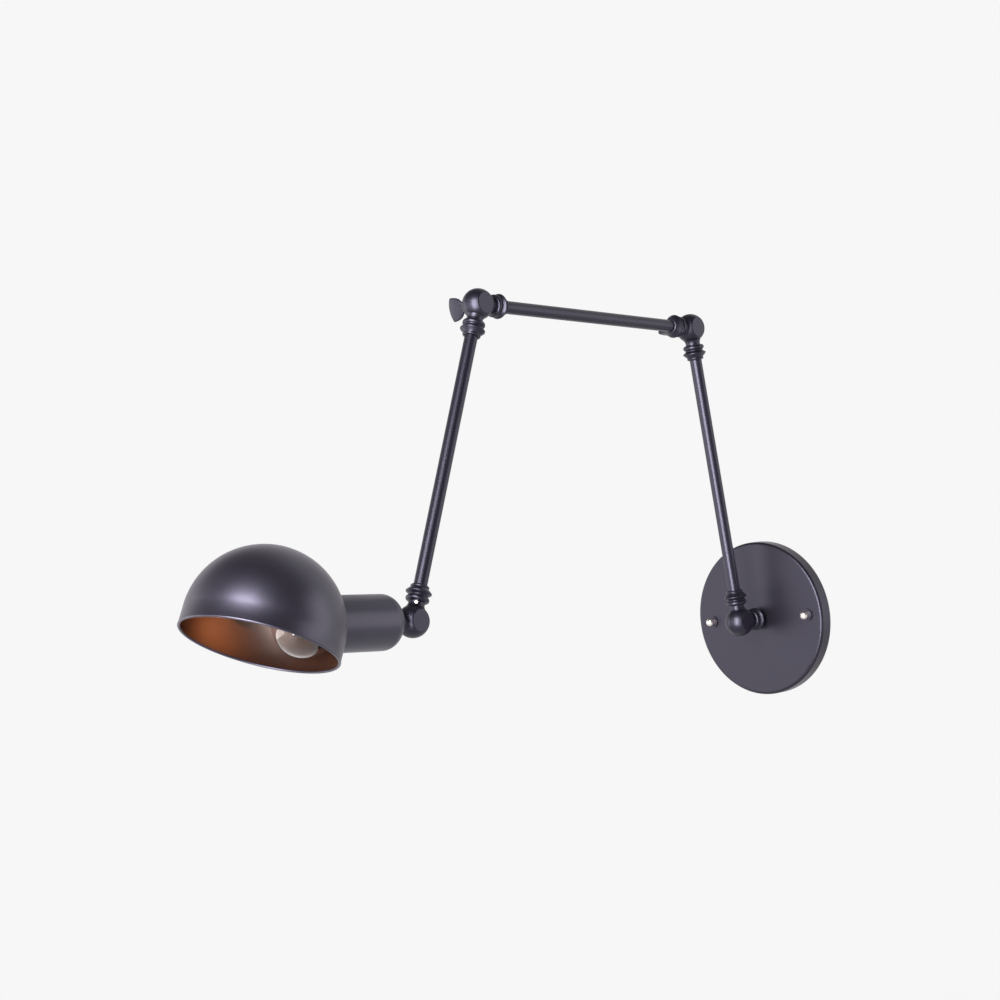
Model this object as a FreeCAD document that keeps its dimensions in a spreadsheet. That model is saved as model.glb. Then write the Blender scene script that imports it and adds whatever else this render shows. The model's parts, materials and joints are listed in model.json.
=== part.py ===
import FreeCAD, Part
import math
import os
import re
import Sketcher

# Accordion wall lamp, in millimetres. The wall is the plane Y = 0 and the lamp reaches towards -Y, +Z is up and
# X runs along the wall. The origin is the centre of the canopy, on the wall. The three arms, the stub and the
# lampholder cup lie in the plane X = 0, and every knuckle turns about X. A lean is an angle in degrees from
# straight up, growing away from the wall. Pieces of an arm are drawn along their own +Z, away from a pivot.

SIZES = {
    # arms
    "pivot_stand": 39, "arm_reach": 250, "tube_radius": 5, "tube_bore": 4,
    "lower_lean": 4.6, "middle_lean": 86, "outer_lean": 156, "head_lean": 85.7, "dome_lean": -26.2,
    # split balls, measured from the pivot
    "ball_radius": 12, "flat_stand": 8.9, "flat_radius": 7.2, "flat_edge": 1.6, "edge_stand": 8.2,
    "split_gap": 0.15, "swing_clearance": 0.3, "hollow_depth": 3.3, "hollow_inner": 4.6, "hollow_outer": 9.6,
    "tapped_hole": 2.05, "clear_hole": 2.1, "hole_depth": 6.5,
    "neck_radius": 6, "neck_flare": 7.6, "flare_start": 9.3, "flare_round": 6, "flare_end": 12.8, "neck_end": 14.2,
    "spigot_radius": 5, "spigot_end": 20.5, "cup_spigot_end": 27,
    "canopy_spigot_end": 32.6, "lead_bore": 3, "bore_start": 7,
    # turned collars, measured from the pivot
    "collar_bore": 5.05, "bead_foot": 6.9, "bead_round": 2.1, "bead_start": 14.4, "bead_end": 18.5,
    "groove_radius": 7.2, "groove_end": 19.4, "crest_radius": 9.3, "crest_round": 0.8, "crest_start": 20.9,
    "crest_end": 22.1, "cone_foot": 6.4, "cone_end": 25, "lip_radius": 6.9, "lip_start": 25.3, "lip_end": 26.3,
    "collar_end": 27,
    # pivot screws and washers
    "shank_radius": 2, "washer_bore": 2.2, "washer_radius": 4.6, "washer_thickness": 0.8, "spacer_radius": 4.4,
    "fit_gap": 0.05, "screw_head_radius": 4.2, "screw_head_height": 2.6, "head_round": 1,
    "slot_width": 1, "slot_depth": 1.2,
    "hub_radius": 4.2, "hub_waist": 2.4, "waist_stand": 14.6, "hub_round": 7, "wing_start": 14.2,
    "wing_shoulder": 19, "shoulder_height": 7.2, "shoulder_round": 17, "wing_corner": 27.5, "corner_height": 9.2,
    "wing_end_round": 19, "wing_thickness": 2.6,
    "grub_radius": 1.2, "grub_stand": 12.95, "grub_start": 3.4, "grub_end": 5.9, "grub_slot": 0.5, "grub_turn": 45,
    # canopy and what is behind it
    "canopy_radius": 65, "canopy_depth": 12, "canopy_wall": 1.2, "canopy_round": 2.6, "nipple_hole": 5.2,
    "stud_spacing": 100, "stud_radius": 2, "stud_hole": 2.6, "stud_head_radius": 4, "stud_head_height": 2.2,
    "stud_end": 17.4, "nut_washer_radius": 5.4, "nut_washer_thickness": 1, "nut_radius": 3.6, "nut_side": 16.4,
    "nut_tip": 19.3, "nut_dome": 3.9, "nut_hollow": 17.7,
    "bar_thickness": 2, "bar_half_width": 11, "bar_half_length": 57, "bar_offset": 3.2, "joggle_start": 40.5,
    "joggle_run": 3, "joggle_shift": 0.8, "wire_hole": 7, "slot_spacing": 60, "slot_length": 14,
    "slot_radius": 2.25, "tab_half_width": 10, "tab_top": 40, "earth_stand": 14,
    "block_half_width": 9, "block_bottom": 20, "block_top": 36, "block_height": 7.4, "pole_stand": 5.6,
    "pole_rise": 4.2, "terminal_radius": 1.7, "terminal_height": 2, "well_radius": 2, "well_depth": 3,
    "wire_entry": 1.3, "entry_stand": 2.6, "fixing_radius": 1.5, "fixing_head": 2.8, "fixing_well": 3,
    "fixing_well_depth": 2, "fixing_head_height": 1.8, "earth_head": 3.6, "earth_height": 2.4,
    "hex_half_flat": 7, "hex_thickness": 2.6, "tooth_washer": 7.6,
    "tooth_thickness": 0.8,
    # lampholder cup and lampholder, measured from the head pivot
    "ring_radius": 9.6, "ring_start": 18.4, "ring_flare": 6.4, "ring_round": 6.5, "cup_start": 20, "cup_radius": 20,
    "cup_wall": 1.2, "cup_flat": 9, "strap_half": 9, "foot_half": 16.2, "strap_width": 14, "holder_start": 36,
    "holder_radius": 17.4, "holder_end": 77, "holder_bore": 14.1, "holder_floor": 49,
    "shell_outer": 14, "shell_bore": 13.5, "shell_end": 75.5, "shell_hole": 9, "sheet_thickness": 0.6,
    "holder_screw_stand": 13.4, "holder_screw_end": 44, "holder_screw_height": 2.2,
    "contact_width": 6, "contact_half": 8, "contact_knee": 5, "contact_flat": 1.5, "contact_rise": 2.3,
    # dome
    "dome_reach": 134, "dome_radius": 55, "dome_wall": 1.2, "dome_skirt": 13.5, "rim_radius": 55.4,
    "dome_hole": 17.5,
    # bulb, measured from the head pivot
    "globe_radius": 22.5, "globe_stand": 99.5, "glass_wall": 0.8, "glass_neck": 12, "glass_start": 76,
    "neck_top": 79.6, "globe_foot": 15.5, "neck_round": 5, "cap_radius": 12.6, "cap_bore": 12.1,
    "cap_rim_radius": 13, "cap_top": 79, "cap_bottom": 54.6, "cap_foot": 9, "cap_knee": 57,
    "cap_shoulder": 75.6, "cap_wall": 0.5, "ridge_pitch": 3.62, "ridge_width": 2.2, "ridge_round": 1.3,
    "ridge_start": 58.6, "tip_start": 52.9, "tip_end": 52, "tip_radius": 3.5, "stem_radius": 3, "stem_knee": 87,
    "stem_end": 97, "stem_start": 76.5, "stem_rim": 77.3,
    "stem_round": 12, "wire_radius": 0.45, "support_stand": 1.6, "support_spread": 8, "support_end": 107,
    "filament_rise": 4,
    # leads
    "lead_radius": 1.2, "lead_side": 1.6, "loop_radius": 7.1, "loop_bend": 3, "loop_turn": 250,
    "supply_bend": 3.2, "supply_back": 35.6, "supply_rise": 33.4,
}
RIDGES = 4

doc = FreeCAD.newDocument("accordion_wall_lamp")
sheet = doc.addObject("Spreadsheet::Sheet", "Sizes")
for row, (alias, number) in enumerate(SIZES.items(), start=1):
    sheet.set(f"A{row}", alias)
    sheet.set(f"B{row}", str(number))
    sheet.setAlias(f"B{row}", alias)
doc.recompute()


def formula(text):
    """An expression with each alias led to its cell of the sheet."""
    return re.sub(r"[a-z_]+", lambda word: "Sizes." * (word[0] in SIZES) + word[0], str(text))


def size(text):
    return float(sheet.evalExpression(formula(text)))


def lean_direction(lean):
    return FreeCAD.Vector(0, -math.sin(math.radians(lean)), math.cos(math.radians(lean)))


# Pivots, from the wall to the head, and the centre of the dome's ball.
WALL_PIVOT = FreeCAD.Vector(0, -size("pivot_stand"), 0)
FIRST_ELBOW = WALL_PIVOT + lean_direction(size("lower_lean")) * size("arm_reach")
SECOND_ELBOW = FIRST_ELBOW + lean_direction(size("middle_lean")) * size("arm_reach")
HEAD_PIVOT = SECOND_ELBOW + lean_direction(size("outer_lean")) * size("arm_reach")
DOME_CENTRE = HEAD_PIVOT + lean_direction(size("head_lean")) * size("dome_reach")
WALL_SIDE = 270
NEAR, FAR = 1, -1  # the half ball on the +X side, and the one on the -X side

pieces = {}


def keep(piece, label, at=FreeCAD.Vector(), lean=0.0):
    """Names a finished sub-part and puts it in its place."""
    piece.Label = label
    piece.Placement = FreeCAD.Placement(at, FreeCAD.Rotation(FreeCAD.Vector(1, 0, 0), lean))
    pieces[label] = piece
    return piece


def new_body(label, at=FreeCAD.Vector(), lean=0.0):
    return keep(doc.addObject("PartDesign::Body", "Body"), label, at, lean)


def new_sketch(body, plane):
    sketch = body.newObject("Sketcher::SketchObject", "Sketch")
    origin_plane = next(item for item in body.Origin.OriginFeatures if item.Role == plane + "_Plane")
    sketch.AttachmentSupport = [(origin_plane, "")]
    sketch.MapMode = "FlatFace"
    return sketch


def hold(sketch, kind, references, text):
    """One dimension of a sketch, bound to the sheet."""
    index = sketch.addConstraint(Sketcher.Constraint(kind, *references, size(text)))
    sketch.setExpression(f"Constraints[{index}]", formula(text))


def hold_point(sketch, geometry, end, across, up):
    for kind, axis, text in (("DistanceX", -2, across), ("DistanceY", -1, up)):
        if text == "0":
            sketch.addConstraint(Sketcher.Constraint("PointOnObject", geometry, end, axis))
        else:
            hold(sketch, kind, (-1, 1, geometry, end), text)


def arc_between(first, last, radius):
    """The arc under a half turn between two points; a positive radius turns left on the way."""
    chord = last - first
    half = chord.Length / 2
    left = FreeCAD.Vector(-chord.y, chord.x, 0).normalize()
    rise = math.sqrt(max(radius * radius - half * half, 0))
    centre = (first + last) / 2 + left * math.copysign(rise, radius)
    begin, finish = (first, last) if radius > 0 else (last, first)
    start_angle = math.atan2(begin.y - centre.y, begin.x - centre.x)
    end_angle = math.atan2(finish.y - centre.y, finish.x - centre.x)
    circle = Part.Circle(centre, FreeCAD.Vector(0, 0, 1), abs(radius))
    return Part.ArcOfCircle(circle, start_angle, end_angle + 2 * math.pi * (end_angle < start_angle))


def outline(body, plane, corners, mirror=1):
    """A closed outline of (across, up) formulas; a third entry is the radius of the arc to the next corner,
    with a minus sign where that arc turns right. With mirror = -1 it is flipped left to right."""
    sketch = new_sketch(body, plane)
    corners = [(across if mirror > 0 or across == "0" else f"-({across})", up, *bend)
               for across, up, *bend in ([str(entry) for entry in corner] for corner in corners)]
    points = [FreeCAD.Vector(size(corner[0]), size(corner[1]), 0) for corner in corners]
    ends = []
    for index, corner in enumerate(corners):
        first, last = points[index], points[(index + 1) % len(points)]
        if len(corner) == 2:
            sketch.addGeometry(Part.LineSegment(first, last), False)
            ends.append((1, 2))
        else:
            turn = mirror * (-1 if corner[2].startswith("-") else 1)
            text = corner[2].lstrip("-")
            sketch.addGeometry(arc_between(first, last, turn * size(text)), False)
            hold(sketch, "Radius", (index,), text)
            ends.append((1, 2) if turn > 0 else (2, 1))
    for index, corner in enumerate(corners):
        following = (index + 1) % len(corners)
        sketch.addConstraint(Sketcher.Constraint("Coincident", index, ends[index][1], following, ends[following][0]))
        hold_point(sketch, index, ends[index][0], corner[0], corner[1])
    return sketch


def circles(body, plane, rings):
    """Circles of (across, up, radius) formulas in one sketch."""
    sketch = new_sketch(body, plane)
    for index, (across, up, radius) in enumerate(rings):
        centre = FreeCAD.Vector(size(across), size(up), 0)
        sketch.addGeometry(Part.Circle(centre, FreeCAD.Vector(0, 0, 1), size(radius)), False)
        hold_point(sketch, index, 3, across, up)
        hold(sketch, "Radius", (index,), radius)
    return sketch


def revolve(body, plane, axis, corners, mirror=1, cut=False):
    """Turns an outline about the sketch's H (across) or V (up) axis, adding to the body or cutting it."""
    sketch = outline(body, plane, corners, mirror)
    feature = body.newObject("PartDesign::Groove" if cut else "PartDesign::Revolution", "Turned")
    feature.Profile = sketch
    feature.ReferenceAxis = (sketch, [axis + "_Axis"])
    feature.Angle = 360
    return feature


def extrude(body, sketch, thickness, both_ways=True, backwards=False, cut=False):
    """Pads or pockets a sketch by a formula, half to each side or all to one."""
    feature = body.newObject("PartDesign::Pocket" if cut else "PartDesign::Pad", "Extruded")
    feature.Profile = sketch
    feature.SideType = "Symmetric" if both_ways else "One side"
    feature.Reversed = backwards
    feature.setExpression("Length", formula(thickness))
    return feature


def rectangle(left, bottom, right, top):
    return [(left, bottom), (right, bottom), (right, top), (left, top)]


def ring(label, at, lean, inner, outer, start, end, along="Z"):
    """A plain washer or tube about its own Z axis, or about X."""
    body = new_body(label, at, lean)
    if along == "Z":
        revolve(body, "XZ", "V", rectangle(inner, start, outer, end))
    else:
        revolve(body, "XZ", "H", rectangle(start, inner, end, outer))
    return body


# ---- knuckles ----

def knuckle_half(label, side, pivot, lean, spigot_end="spigot_end"):
    """One half of a hollow split ball, with its neck and threaded spigot along +Z. The neck is centred on the
    split, so inside the neck the other half's ball is cleared by a groove. The hollow lets a lead loop round
    the pivot: the near half is tapped for the pivot screw, and the far half has a plain hole through it."""
    body = new_body(label, pivot, lean)
    revolve(body, "XZ", "H", [
        ("split_gap", "0"),
        ("flat_stand", "0"),
        ("flat_stand", "flat_radius", "flat_edge"),
        ("edge_stand", "sqrt(ball_radius^2 - edge_stand^2)", "ball_radius"),
        ("split_gap", "sqrt(ball_radius^2 - split_gap^2)"),
    ], side)
    revolve(body, "XZ", "V", [
        ("0", "bore_start"),
        ("neck_radius", "bore_start"),
        ("neck_flare", "flare_start", "-flare_round"),
        ("neck_radius", "flare_end"),
        ("neck_radius", "neck_end"),
        ("spigot_radius", "neck_end"),
        ("spigot_radius", spigot_end),
        ("0", spigot_end),
    ])
    swept = "(ball_radius + swing_clearance)"
    revolve(body, "XZ", "H", [
        ("split_gap", "0"),
        ("split_gap", f"sqrt({swept}^2 - split_gap^2)", swept),
        (f"-{swept}", "0"),
    ], side, cut=True)
    revolve(body, "XZ", "H", rectangle("split_gap", "hollow_inner", "hollow_depth", "hollow_outer"), side, cut=True)
    revolve(body, "XZ", "V", rectangle("0", "bore_start", "lead_bore", spigot_end + " + 1"), cut=True)
    if side == NEAR:
        revolve(body, "XZ", "H", rectangle("split_gap", "0", "hole_depth", "tapped_hole"), side, cut=True)
    else:
        revolve(body, "XZ", "H", rectangle("split_gap", "0", "flat_stand + 1", "clear_hole"), side, cut=True)
    return body


def collar(label, pivot, lean):
    """A turned collar: a round bead, a groove, a sharper crest that tapers away, and a small lip."""
    body = new_body(label, pivot, lean)
    revolve(body, "XZ", "V", [
        ("collar_bore", "neck_end"),
        ("neck_radius", "neck_end"),
        ("bead_foot", "bead_start", "bead_round"),
        ("groove_radius", "bead_end"),
        ("groove_radius", "groove_end"),
        ("crest_radius", "crest_start", "crest_round"),
        ("crest_radius", "crest_end"),
        ("cone_foot", "cone_end"),
        ("lip_radius", "lip_start"),
        ("lip_radius", "lip_end"),
        ("neck_radius", "collar_end"),
        ("collar_bore", "collar_end"),
    ])
    return body


def friction_washer(label, pivot):
    """A thin disc on the near half's boss, between the two halves."""
    return ring(label, pivot, 0, "washer_bore", "spacer_radius", "fit_gap - split_gap", "split_gap", "X")


def slotted_screw(label, pivot, lean):
    """A pivot screw in the near half, with its head beyond the far half."""
    body = new_body(label, pivot, lean)
    under_head = "flat_stand + fit_gap + washer_thickness"
    revolve(body, "XZ", "H", [
        ("-hole_depth", "0"),
        (f"{under_head} + screw_head_height", "0"),
        (f"{under_head} + screw_head_height", "screw_head_radius - head_round", "head_round"),
        (f"{under_head} + screw_head_height - head_round", "screw_head_radius"),
        (under_head, "screw_head_radius"),
        (under_head, "shank_radius"),
        ("-hole_depth", "shank_radius"),
    ], FAR)
    face = f"-({under_head} + screw_head_height)"
    slot = outline(body, "XZ", rectangle(f"{face} - 1", "-slot_width/2", f"{face} + slot_depth", "slot_width/2"))
    extrude(body, slot, "4*screw_head_radius", cut=True)
    return body


def wing_screw(label, pivot, lean):
    """A thumb screw: a turned hub that narrows to a waist, and a flat flared wing."""
    body = new_body(label, pivot, lean)
    under_hub = "flat_stand + 2*fit_gap + washer_thickness"
    revolve(body, "XZ", "H", [
        ("fit_gap - hole_depth", "0"),
        ("wing_shoulder", "0"),
        ("wing_shoulder", "hub_waist/2"),
        ("waist_stand", "hub_waist", "-hub_round"),
        (under_hub, "hub_radius"),
        (under_hub, "shank_radius"),
        ("fit_gap - hole_depth", "shank_radius"),
    ], FAR)
    wing = outline(body, "XZ", [
        ("wing_start", "-hub_waist"),
        ("wing_shoulder", "-shoulder_height", "shoulder_round"),
        ("wing_corner", "-corner_height", "wing_end_round"),
        ("wing_corner", "corner_height", "shoulder_round"),
        ("wing_shoulder", "shoulder_height"),
        ("wing_start", "hub_waist"),
    ], FAR)
    extrude(body, wing, "wing_thickness")
    return body


def arm(name, pivot, lean, side, first, last):
    """One arm: a half ball and a collar at each end, and the tube between them."""
    far_pivot = pivot + lean_direction(lean) * size("arm_reach")
    knuckle_half(first, side, pivot, lean)
    collar(name + "_inner_collar", pivot, lean)
    ring(name + "_tube", pivot, lean, "tube_bore", "tube_radius", "spigot_end", "arm_reach - spigot_end")
    collar(name + "_outer_collar", far_pivot, lean + 180)
    knuckle_half(last, side, far_pivot, lean + 180)


knuckle_half("wall_knuckle_near_half", NEAR, WALL_PIVOT, WALL_SIDE, "canopy_spigot_end")
collar("stub_collar", WALL_PIVOT, WALL_SIDE)
arm("lower_arm", WALL_PIVOT, size("lower_lean"), FAR, "wall_knuckle_far_half", "first_elbow_far_half")
arm("middle_arm", FIRST_ELBOW, size("middle_lean"), NEAR, "first_elbow_near_half", "second_elbow_near_half")
arm("outer_arm", SECOND_ELBOW, size("outer_lean"), FAR, "second_elbow_far_half", "head_knuckle_far_half")
knuckle_half("head_knuckle_near_half", NEAR, HEAD_PIVOT, size("head_lean"), "cup_spigot_end")

for name, pivot in (("wall", WALL_PIVOT), ("first_elbow", FIRST_ELBOW),
                    ("second_elbow", SECOND_ELBOW), ("head", HEAD_PIVOT)):
    friction_washer(name + "_friction_washer", pivot)
    if name in ("wall", "head"):
        slotted_screw(name + "_pivot_screw", pivot, 0)
        ring(name + "_screw_washer", pivot, 0, "washer_bore", "washer_radius",
             "-(flat_stand + fit_gap + washer_thickness)", "-(flat_stand + fit_gap)", "X")
    else:
        ring(name + "_screw_washer", pivot, 0, "washer_bore", "washer_radius",
             "-(flat_stand + washer_thickness)", "-flat_stand", "X")
wing_screw("first_elbow_wing_screw", FIRST_ELBOW, 84)
wing_screw("second_elbow_wing_screw", SECOND_ELBOW, 8)


def drilled(label, body, tool_radius, tool_length, tool_place):
    """A body with one slanted round hole; the body and the tool are in the piece's own frame."""
    final_place = body.Placement
    body.Label = label + "_blank"
    body.Placement = FreeCAD.Placement()
    tool = doc.addObject("Part::Cylinder", "Tool")
    tool.setExpression("Radius", formula(tool_radius))
    tool.setExpression("Height", formula(tool_length))
    tool.Placement = tool_place
    cut = doc.addObject("Part::Cut", "Drilled")
    cut.Base = body
    cut.Tool = tool
    cut.Label = label
    cut.Placement = final_place
    pieces[label] = cut
    return cut


# The grub screw locks the outer arm's neck, and its slotted face looks out between +X and -Y.
facing = FreeCAD.Rotation(FreeCAD.Vector(0, 0, 1), -size("grub_turn"))
grub_place = FreeCAD.Placement(FreeCAD.Vector(0, 0, size("grub_stand")), facing)
along_x = FreeCAD.Placement(FreeCAD.Vector(), FreeCAD.Rotation(FreeCAD.Vector(0, 1, 0), 90))
head_neck = drilled("head_knuckle_far_half", pieces["head_knuckle_far_half"],
                    "grub_radius", "ball_radius", grub_place * along_x)
grub = new_body("grub_screw")
revolve(grub, "XZ", "H", rectangle("grub_start", "0", "grub_end", "grub_radius"))
grub_slot = outline(grub, "XZ", rectangle("grub_end - grub_slot", "-grub_slot/2", "grub_end + 1", "grub_slot/2"))
extrude(grub, grub_slot, "4*grub_radius", cut=True)
grub.Placement = head_neck.Placement * grub_place

# ---- canopy and mounting ----

canopy = new_body("canopy")
revolve(canopy, "XY", "V", [
    ("canopy_radius", "0"),
    ("canopy_radius", "canopy_round - canopy_depth", "-canopy_round"),
    ("canopy_radius - canopy_round", "-canopy_depth"),
    ("nipple_hole", "-canopy_depth"),
    ("nipple_hole", "canopy_wall - canopy_depth"),
    ("canopy_radius - canopy_round", "canopy_wall - canopy_depth", "canopy_round - canopy_wall"),
    ("canopy_radius - canopy_wall", "canopy_round - canopy_depth"),
    ("canopy_radius - canopy_wall", "0"),
])
extrude(canopy, circles(canopy, "XZ", [("stud_spacing/2", "0", "stud_hole"), ("-stud_spacing/2", "0", "stud_hole")]),
        "3*canopy_depth", cut=True)

bar = new_body("mounting_bar")
profile = outline(bar, "XY", [
    ("-bar_half_length", "-bar_offset"),
    ("-(joggle_start + joggle_run)", "-bar_offset"),
    ("-joggle_start", "0"),
    ("joggle_start", "0"),
    ("joggle_start + joggle_run", "-bar_offset"),
    ("bar_half_length", "-bar_offset"),
    ("bar_half_length", "-(bar_offset + bar_thickness)"),
    ("joggle_start + joggle_run - joggle_shift", "-(bar_offset + bar_thickness)"),
    ("joggle_start - joggle_shift", "-bar_thickness"),
    ("joggle_shift - joggle_start", "-bar_thickness"),
    ("joggle_shift - joggle_start - joggle_run", "-(bar_offset + bar_thickness)"),
    ("-bar_half_length", "-(bar_offset + bar_thickness)"),
])
extrude(bar, profile, "2*bar_half_width")
extrude(bar, outline(bar, "XZ", rectangle("-tab_half_width", "0", "tab_half_width", "tab_top")),
        "bar_thickness", both_ways=False)
extrude(bar, circles(bar, "XZ", [("0", "0", "wire_hole"), ("stud_spacing/2", "0", "stud_radius"),
                                 ("-stud_spacing/2", "0", "stud_radius"), ("-earth_stand", "0", "stud_radius"),
                                 ("0", "(block_bottom + block_top)/2", "fixing_radius")]),
        "6*bar_thickness", cut=True)
half_run = "(slot_length/2 - slot_radius)"
for way in ("", "-"):
    middle = f"{way}slot_spacing/2"
    slot = outline(bar, "XZ", [
        (f"{middle} - {half_run}", "-slot_radius"),
        (f"{middle} + {half_run}", "-slot_radius", "slot_radius"),
        (f"{middle} + {half_run} + slot_radius", "0", "slot_radius"),
        (f"{middle} + {half_run}", "slot_radius"),
        (f"{middle} - {half_run}", "slot_radius", "slot_radius"),
        (f"{middle} - {half_run} - slot_radius", "0", "slot_radius"),
    ])
    extrude(bar, slot, "6*bar_thickness", cut=True)


def group(label, plane, outlines, at=FreeCAD.Vector(), lean=0.0):
    """Small turned pieces as one sub-part, from a list of (outline, offset)."""
    members = []
    for corners, offset in outlines:
        member = doc.addObject("PartDesign::Body", "Member")
        revolve(member, plane, "V", corners)
        member.Placement = FreeCAD.Placement(offset, FreeCAD.Rotation())
        members.append(member)
    together = doc.addObject("Part::Compound", "Group")
    together.Links = members
    return keep(together, label, at, lean)


def vector(across, y, up):
    return FreeCAD.Vector(size(across), size(y), size(up))


def on_both_studs(label, corners):
    group(label, "XY", [(corners, vector(way + "stud_spacing/2", "0", "0")) for way in ("", "-")])


on_both_studs("mounting_studs", [
    ("0", "stud_head_height - bar_offset"),
    ("stud_head_radius", "stud_head_height - bar_offset"),
    ("stud_head_radius", "-bar_offset"),
    ("stud_radius", "-bar_offset"),
    ("stud_radius", "-stud_end"),
    ("0", "-stud_end"),
])
on_both_studs("cap_nut_washers", rectangle("stud_hole", "-(canopy_depth + nut_washer_thickness)",
                                           "nut_washer_radius", "-canopy_depth"))
on_both_studs("cap_nuts", [
    ("tapped_hole", "-(canopy_depth + nut_washer_thickness)"),
    ("nut_radius", "-(canopy_depth + nut_washer_thickness)"),
    ("nut_radius", "-nut_side", "-nut_dome"),
    ("0", "-nut_tip"),
    ("0", "-nut_hollow"),
    ("tapped_hole", "-nut_hollow"),
])

# The terminal block stands on the bar's tab, and its own frame starts at the tab's front.
tab_front = vector("0", "-bar_thickness", "0")
block_middle = "(block_bottom + block_top)/2"
screw_places = [(across, f"{block_middle} {way} pole_rise")
                for across in ("pole_stand", "-pole_stand") for way in "+-"]
block = new_body("terminal_block", tab_front)
extrude(block, outline(block, "XZ", rectangle("-block_half_width", "block_bottom", "block_half_width", "block_top")),
        "block_height", both_ways=False)
extrude(block, circles(block, "XZ", [("0", block_middle, "fixing_radius")]), "3*block_height", cut=True)
extrude(block, circles(block, "XY", [("pole_stand", "-entry_stand", "wire_entry"),
                                     ("-pole_stand", "-entry_stand", "wire_entry")]), "3*block_top", cut=True)
sunk = [(across, up, "well_radius", "well_depth") for across, up in screw_places]
for across, up, radius, depth in sunk + [("0", block_middle, "fixing_well", "fixing_well_depth")]:
    well = circles(block, "XZ", [(across, up, radius)])
    well.AttachmentOffset.Base = vector("0", "0", "block_height")
    well.setExpression("AttachmentOffset.Base.z", formula("block_height"))
    extrude(block, well, depth, both_ways=False, cut=True)
clamp = rectangle("0", "well_depth - block_height - terminal_height", "terminal_radius", "well_depth - block_height")
group("terminal_screws", "XY", [(clamp, vector(across, "0", up)) for across, up in screw_places], tab_front)


def pan_head_screw(head_radius, shank_radius, tip, seat, top):
    """Half the outline of a screw, from its tip to the top of its head."""
    head = [("0", top), (head_radius, top), (head_radius, seat)]
    return [("0", tip), *head, (shank_radius, seat), (shank_radius, tip)]


# One earth screw in the bar, and one screw that holds the terminal block.
earth = pan_head_screw("earth_head", "stud_radius", "bar_thickness - fit_gap", "0", "-earth_height")
fixing = pan_head_screw("fixing_head", "fixing_radius - fit_gap", "bar_thickness - fit_gap",
                        "fixing_well_depth - block_height", "fixing_well_depth - block_height - fixing_head_height")
group("bar_screws", "XY", [(earth, vector("-earth_stand", "0", "0")), (fixing, vector("0", "0", block_middle))],
      tab_front)


def hex_nut(label, pivot, lean, start):
    """A thin hexagon nut on a threaded tube, from this distance along it."""
    body = new_body(label, pivot + lean_direction(lean) * size(start), lean)
    side = "hex_half_flat*tan(30)"
    hexagon = outline(body, "XY", [
        (side, "hex_half_flat"),
        (f"-{side}", "hex_half_flat"),
        (f"-2*{side}", "0"),
        (f"-{side}", "-hex_half_flat"),
        (side, "-hex_half_flat"),
        (f"2*{side}", "0"),
    ])
    extrude(body, hexagon, "hex_thickness", both_ways=False)
    extrude(body, circles(body, "XY", [("0", "0", "collar_bore")]), "3*hex_thickness", cut=True)


inside_canopy = "pivot_stand - canopy_depth + canopy_wall"
ring("nipple_washer", WALL_PIVOT, WALL_SIDE, "collar_bore", "tooth_washer",
     inside_canopy, inside_canopy + " + tooth_thickness")
hex_nut("nipple_nut", WALL_PIVOT, WALL_SIDE, inside_canopy + " + tooth_thickness")

# ---- lampholder cup and lampholder ----

HEAD = (HEAD_PIVOT, size("head_lean"))

cup_ring = new_body("cup_ring", *HEAD)
revolve(cup_ring, "XZ", "V", [
    ("collar_bore", "neck_end"),
    ("ring_flare", "neck_end", "-ring_round"),
    ("ring_radius", "ring_start"),
    ("ring_radius", "cup_start"),
    ("collar_bore", "cup_start"),
])

cup = new_body("lampholder_cup", *HEAD)
cup_inner = "(cup_radius - cup_wall)"
dome_seat = "dome_reach - fit_gap/2 - sqrt(dome_radius^2 - {0}^2)"
revolve(cup, "XZ", "V", [
    ("collar_bore", "cup_start"),
    ("cup_flat", "cup_start", "cup_radius - cup_flat"),
    ("cup_radius", "cup_start + cup_radius - cup_flat"),
    ("cup_radius", dome_seat.format("cup_radius")),
    (cup_inner, dome_seat.format(cup_inner)),
    (cup_inner, "cup_start + cup_radius - cup_flat", "-(cup_radius - cup_wall - cup_flat)"),
    ("cup_flat", "cup_start + cup_wall"),
    ("collar_bore", "cup_start + cup_wall"),
])
hex_nut("cup_nut", *HEAD, "cup_start + cup_wall")

# The bracket is screwed on the spigot against the nut, and its two feet carry the lampholder.
bracket = new_body("holder_bracket", *HEAD)
strap_side = "(strap_half + cup_wall)"
strap_start = "cup_start + cup_wall + hex_thickness"
extrude(bracket, outline(bracket, "YZ", [
    (f"-{strap_side}", strap_start),
    (strap_side, strap_start),
    (strap_side, "holder_start - cup_wall"),
    ("foot_half", "holder_start - cup_wall"),
    ("foot_half", "holder_start"),
    ("strap_half", "holder_start"),
    ("strap_half", strap_start + " + cup_wall"),
    ("-strap_half", strap_start + " + cup_wall"),
    ("-strap_half", "holder_start"),
    ("-foot_half", "holder_start"),
    ("-foot_half", "holder_start - cup_wall"),
    (f"-{strap_side}", "holder_start - cup_wall"),
]), "strap_width")
screw_holes = [("0", "holder_screw_stand", "fixing_radius"), ("0", "-holder_screw_stand", "fixing_radius")]
extrude(bracket, circles(bracket, "XY", [("0", "0", "collar_bore")] + screw_holes), "3*holder_start", cut=True)

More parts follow.
